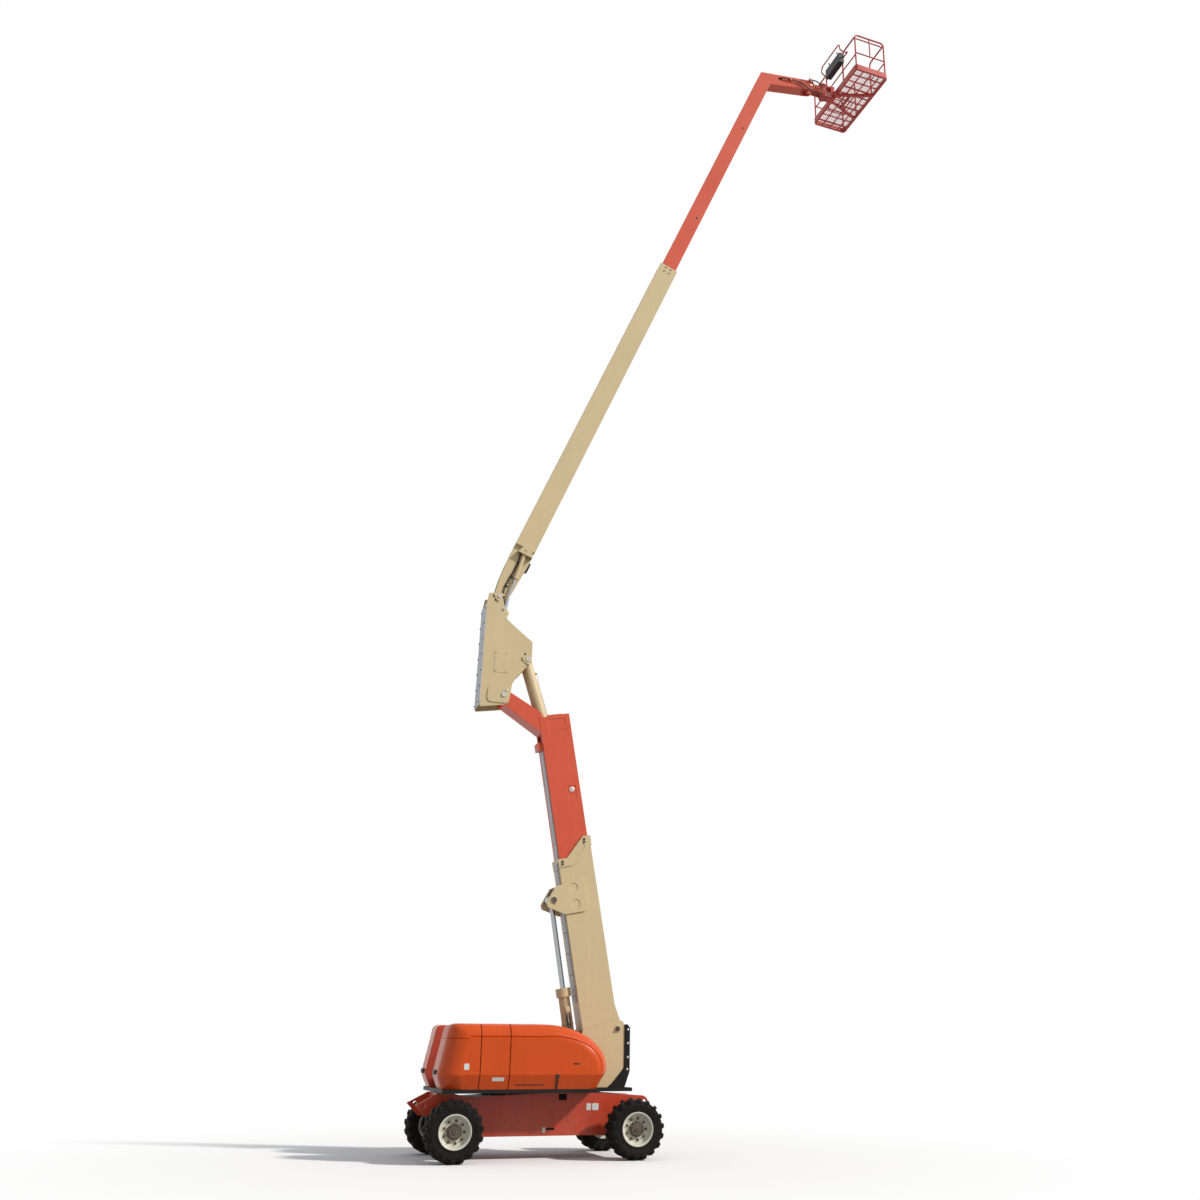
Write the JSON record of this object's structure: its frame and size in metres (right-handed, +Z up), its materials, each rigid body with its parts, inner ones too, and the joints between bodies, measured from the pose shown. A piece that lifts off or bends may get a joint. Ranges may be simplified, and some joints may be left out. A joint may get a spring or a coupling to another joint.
{
  "type": "articulating boom lift",
  "caption": "Wheeled articulating boom lift with a slewing turntable, telescoping tower, plumb upright, telescoping main boom and a railed work platform.",
  "frame": {"origin": "on the ground under the swing axis, midway between the axles", "axes": "+X toward the platform and the steered wheels, +Y to the left, +Z up"},
  "size_m": [9.901, 2.436, 25.4614],
  "materials": {
    "orange_paint": "gloss",
    "red_paint": "satin",
    "cream_paint": "satin",
    "hood_plastic": "gloss",
    "black_steel": "satin",
    "rubber": "matte",
    "rim_paint": "satin",
    "hub_iron": "matte",
    "rod_chrome": "polished",
    "zinc": "matte",
    "black_plastic": "matte"
  },
  "bodies": {
    "chassis": {"chassis_frame": "orange_paint", "rear_axle": "black_steel", "front_axle": "black_steel", "swing_bearing": "zinc"},
    "knuckle_right": {"knuckle_right": "black_steel"},
    "knuckle_left": {"knuckle_left": "black_steel"},
    "roadwheel_front_right": {"tyre_front_right": "rubber", "wheel_front_right": "rim_paint", "hub_front_right": "hub_iron"},
    "roadwheel_front_left": {"tyre_front_left": "rubber", "wheel_front_left": "rim_paint", "hub_front_left": "hub_iron"},
    "roadwheel_rear_right": {"tyre_rear_right": "rubber", "wheel_rear_right": "rim_paint", "hub_rear_right": "hub_iron"},
    "roadwheel_rear_left": {"tyre_rear_left": "rubber", "wheel_rear_left": "rim_paint", "hub_rear_left": "hub_iron"},
    "turntable": {"turntable_deck": "black_steel", "tower_support": "cream_paint", "front_cover": "black_steel", "slot_walls": "orange_paint", "counterweight": "black_steel", "engine_block": "zinc", "oil_tank": "zinc", "hood_right": "hood_plastic", "hood_left": "hood_plastic"},
    "door_right": {"hood_door_right": "hood_plastic"},
    "door_left": {"hood_door_left": "hood_plastic"},
    "tower": {"tower_base": "cream_paint", "tower_bracket": "cream_paint", "tower_collar": "cream_paint", "tower_conduit": "zinc"},
    "fly": {"tower_fly": "red_paint", "fly_conduit": "zinc"},
    "tower_cylinder": {"tower_lift_barrel": "cream_paint"},
    "tower_cylinder_rod": {"tower_lift_rod": "rod_chrome"},
    "level_cylinder": {"level_barrel": "cream_paint"},
    "level_cylinder_rod": {"level_rod": "rod_chrome"},
    "upright": {"upright": "cream_paint", "upright_cover": "zinc"},
    "main_cylinder": {"main_lift_barrel": "cream_paint"},
    "main_cylinder_rod": {"main_lift_rod": "rod_chrome"},
    "master_cylinder": {"master_barrel": "cream_paint"},
    "master_cylinder_rod": {"master_rod": "rod_chrome"},
    "main_boom": {"main_base": "cream_paint"},
    "main_boom_fly": {"main_fly": "red_paint", "nose_hose": "black_plastic"},
    "rotator": {"rotator": "red_paint"},
    "platform": {"platform_support": "red_paint", "platform_floor": "red_paint", "rail_near": "red_paint", "rail_far": "red_paint", "rail_inner": "red_paint", "rail_outer": "red_paint", "control_console": "black_plastic"}
  },
  "joints": [
    {"name": "swing", "type": "hinge", "parent": "chassis", "child": "turntable", "pos_m": [0, 0, 1], "axis": [0, 0, 1], "continuous": true},
    {"name": "steer_right", "type": "hinge", "parent": "chassis", "child": "knuckle_right", "pos_m": [1.525, -0.77, 0.48], "axis": [0, 0, 1], "range_deg": [-35, 35]},
    {"name": "steer_left", "type": "hinge", "parent": "chassis", "child": "knuckle_left", "pos_m": [1.525, 0.77, 0.48], "axis": [0, 0, 1], "range_deg": [-35, 35]},
    {"name": "roll_front_right", "type": "hinge", "parent": "knuckle_right", "child": "roadwheel_front_right", "pos_m": [1.525, -1.025, 0.48], "axis": [0, 1, 0], "continuous": true},
    {"name": "roll_front_left", "type": "hinge", "parent": "knuckle_left", "child": "roadwheel_front_left", "pos_m": [1.525, 1.025, 0.48], "axis": [0, 1, 0], "continuous": true},
    {"name": "roll_rear_right", "type": "hinge", "parent": "chassis", "child": "roadwheel_rear_right", "pos_m": [-1.525, -1.025, 0.48], "axis": [0, 1, 0], "continuous": true},
    {"name": "roll_rear_left", "type": "hinge", "parent": "chassis", "child": "roadwheel_rear_left", "pos_m": [-1.525, 1.025, 0.48], "axis": [0, 1, 0], "continuous": true},
    {"name": "open_door_right", "type": "hinge", "parent": "turntable", "child": "door_right", "pos_m": [0, -0.37, 2.103], "axis": [-1, 0, 0], "range_deg": [0, 60]},
    {"name": "open_door_left", "type": "hinge", "parent": "turntable", "child": "door_left", "pos_m": [0, 0.37, 2.103], "axis": [1, 0, 0], "range_deg": [0, 60]},
    {"name": "tower_lift", "type": "hinge", "parent": "turntable", "child": "tower", "pos_m": [1.433, 0, 2.075], "axis": [0, 1, 0], "range_deg": [-79.6, 0]},
    {"name": "tower_telescope", "type": "slide", "parent": "tower", "child": "fly", "axis": [-0.1805, 0, 0.9836], "range_m": [-1.95, 0]},
    {"name": "upright_level", "type": "hinge", "parent": "fly", "child": "upright", "pos_m": [-0.88613, 0, 7.98037], "axis": [0, 1, 0], "range_deg": [0, 79.6]},
    {"name": "tower_cylinder_turn", "type": "hinge", "parent": "turntable", "child": "tower_cylinder", "pos_m": [0.735, 0, 1.3], "axis": [0, 1, 0], "range_deg": [-81.07, 0]},
    {"name": "tower_cylinder_stroke", "type": "slide", "parent": "tower_cylinder", "child": "tower_cylinder_rod", "axis": [-0.1742, 0, 0.9847], "range_m": [-1.33403, 0]},
    {"name": "level_cylinder_turn", "type": "hinge", "parent": "upright", "child": "level_cylinder", "pos_m": [-0.44713, 0, 8.71837], "axis": [0, 1, 0], "range_deg": [-78.68, 0]},
    {"name": "level_cylinder_stroke", "type": "slide", "parent": "level_cylinder", "child": "level_cylinder_rod", "axis": [0.313, 0, -0.9498], "range_m": [-1.0989, 0]},
    {"name": "main_lift", "type": "hinge", "parent": "upright", "child": "main_boom", "pos_m": [-1.06413, 0, 9.92637], "axis": [0, -1, 0], "range_deg": [-70, 7]},
    {"name": "main_cylinder_turn", "type": "hinge", "parent": "upright", "child": "main_cylinder", "pos_m": [-1.10013, 0, 8.42237], "axis": [0, 1, 0], "range_deg": [-1.01, 10.09]},
    {"name": "main_cylinder_stroke", "type": "slide", "parent": "main_cylinder", "child": "main_cylinder_rod", "axis": [0.1481, 0, 0.989], "range_m": [-0.42069, 0.04208]},
    {"name": "master_cylinder_turn", "type": "hinge", "parent": "main_boom", "child": "master_cylinder", "pos_m": [-0.56992, -0.16, 10.95228], "axis": [0, 1, 0], "range_deg": [-4.57, 0.46]},
    {"name": "master_cylinder_stroke", "type": "slide", "parent": "master_cylinder", "child": "master_cylinder_rod", "axis": [-0.2916, 0, -0.9566], "range_m": [-0.2977, 0.02978]},
    {"name": "main_telescope", "type": "slide", "parent": "main_boom", "child": "main_boom_fly", "axis": [0.3835, 0, 0.9235], "range_m": [-6, 0]},
    {"name": "platform_level", "type": "hinge", "parent": "main_boom_fly", "child": "rotator", "pos_m": [6.12132, 0, 24.3704], "axis": [0, -1, 0], "range_deg": [-7, 70]},
    {"name": "platform_turn", "type": "hinge", "parent": "rotator", "child": "platform", "pos_m": [6.51132, 0, 24.3414], "axis": [0, 0, 1], "range_deg": [-90, 90]}
  ],
  "couplings": [
    {"joint": "steer_left", "follows": "steer_right", "ratio": 1},
    {"joint": "upright_level", "follows": "tower_lift", "ratio": -1},
    {"joint": "tower_cylinder_turn", "follows": "tower_lift", "ratio": 1.0184},
    {"joint": "tower_cylinder_stroke", "follows": "tower_lift", "m_per_rad": 0.96022},
    {"joint": "level_cylinder_turn", "follows": "tower_lift", "ratio": 0.98839},
    {"joint": "level_cylinder_stroke", "follows": "tower_lift", "m_per_rad": 0.79098},
    {"joint": "main_cylinder_turn", "follows": "main_lift", "ratio": -0.14412},
    {"joint": "main_cylinder_stroke", "follows": "main_lift", "m_per_rad": 0.34433},
    {"joint": "master_cylinder_turn", "follows": "main_lift", "ratio": 0.065259},
    {"joint": "master_cylinder_stroke", "follows": "main_lift", "m_per_rad": 0.24366},
    {"joint": "platform_level", "follows": "main_lift", "ratio": -1}
  ]
}
